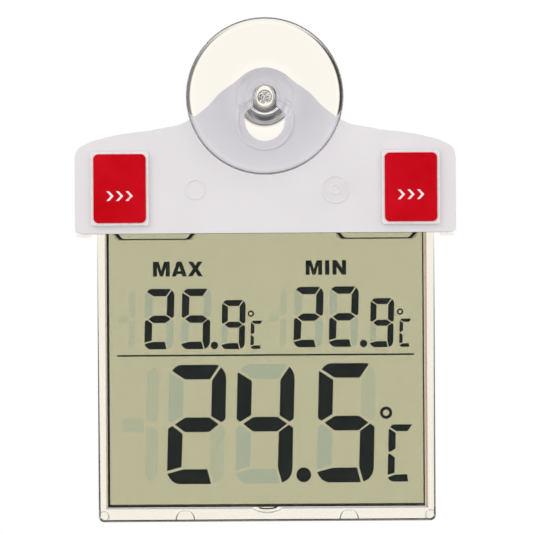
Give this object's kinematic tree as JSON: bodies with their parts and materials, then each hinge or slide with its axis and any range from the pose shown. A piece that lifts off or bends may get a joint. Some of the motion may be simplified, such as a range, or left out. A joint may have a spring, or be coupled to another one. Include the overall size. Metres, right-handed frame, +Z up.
{
  "type": "maximum minimum window thermometer",
  "caption": "Digital maximum minimum thermometer with a see-through display that hangs on a window pane by a clear suction cup or two tape pads.",
  "frame": {"origin": "centre of the suction cup's rim, on the window pane", "axes": "-Y points into the window pane, towards the reader; +X is the reader's right; +Z is up"},
  "size_m": [0.0952, 0.0227, 0.1258],
  "materials": {
    "white_shell": "satin moulded",
    "clear_vinyl": "glossy, soft and clear",
    "clear_frame": "polished, clear, faintly warm",
    "white_foam": "fine closed-cell foam",
    "red_liner": "satin film",
    "khaki_film": "smooth polarizing film",
    "display_glass": "polished",
    "seal_epoxy": "cured drop",
    "dark_rubber": "matte",
    "board_laminate": "solder mask",
    "chip_epoxy": "matte epoxy",
    "capacitor_can": "drawn can",
    "plated_steel": "nickel plated",
    "battery_wrap": "plastic sleeve",
    "grey_key": "satin",
    "switch_body": "satin"
  },
  "bodies": {
    "suction_cup": {"suction_cup": "clear_vinyl"},
    "housing": {"front_housing": "white_shell", "rear_housing": "white_shell", "adhesive_pad_left": "white_foam", "adhesive_pad_right": "white_foam", "liner_left": "red_liner", "liner_right": "red_liner", "display_frame_front": "clear_frame", "display_frame_rear": "clear_frame", "front_polarizer": "khaki_film", "rear_polarizer": "khaki_film", "lcd_front_glass": "display_glass", "lcd_rear_glass": "display_glass", "lcd_end_seal": "seal_epoxy", "zebra_connector": "dark_rubber", "circuit_board": "board_laminate", "chip_cap": "chip_epoxy", "crystal": "plated_steel", "capacitor": "capacitor_can", "thermistor": "chip_epoxy", "battery": "battery_wrap", "negative_spring": "plated_steel", "negative_contact": "plated_steel", "positive_contact": "plated_steel", "reset_switch": "switch_body", "unit_switch": "switch_body", "housing_screw_1": "plated_steel", "housing_screw_2": "plated_steel", "housing_screw_3": "plated_steel", "housing_screw_4": "plated_steel", "board_screw_1": "plated_steel", "board_screw_2": "plated_steel"},
    "battery_cover": {"battery_cover": "white_shell"},
    "reset_button": {"reset_button": "grey_key", "reset_plunger": "dark_rubber"},
    "unit_button": {"unit_button": "grey_key", "unit_plunger": "dark_rubber"}
  },
  "joints": [
    {"name": "housing_lift", "type": "slide", "parent": "suction_cup", "child": "housing", "axis": [0, 0, 1], "range_m": [0, 0.0062]},
    {"name": "cover_slide", "type": "slide", "parent": "housing", "child": "battery_cover", "axis": [0, 0, -1], "range_m": [0, 0.018]},
    {"name": "reset_press", "type": "slide", "parent": "housing", "child": "reset_button", "axis": [0, -1, 0], "range_m": [0, 0.0007], "stiffness_N_per_m": 400, "springref_m": -0.0006},
    {"name": "unit_press", "type": "slide", "parent": "housing", "child": "unit_button", "axis": [0, -1, 0], "range_m": [0, 0.0007], "stiffness_N_per_m": 400, "springref_m": -0.0006}
  ]
}
